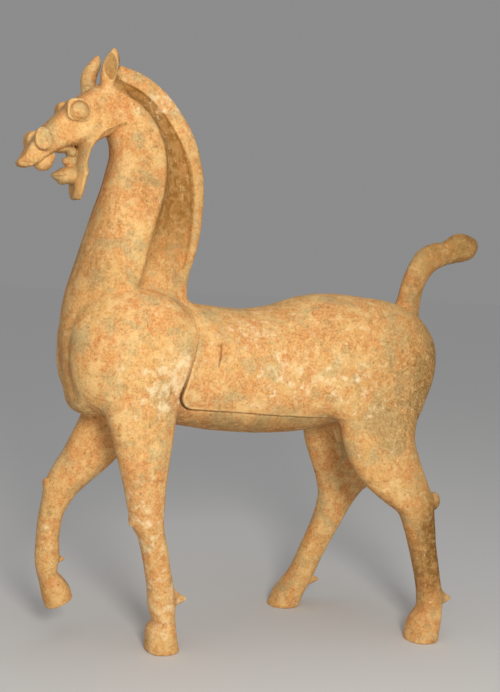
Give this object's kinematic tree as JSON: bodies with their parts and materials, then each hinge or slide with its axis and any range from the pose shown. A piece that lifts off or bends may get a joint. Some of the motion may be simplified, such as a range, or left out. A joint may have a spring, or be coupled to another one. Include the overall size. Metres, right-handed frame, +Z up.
{
  "type": "pottery horse",
  "caption": "Standing terracotta horse with raised head, open mouth, one lifted foreleg and a short upright tail.",
  "frame": {"origin": "under the middle of the bounding box, on the plane of the three standing soles", "axes": "+Z up, -X the way the horse faces, +X its tail, -Y its near (left) side"},
  "size_m": [0.9944, 0.3454, 1.1],
  "materials": {
    "terracotta": "matt"
  },
  "bodies": {
    "root": {"horse": "terracotta"}
  },
  "joints": []
}
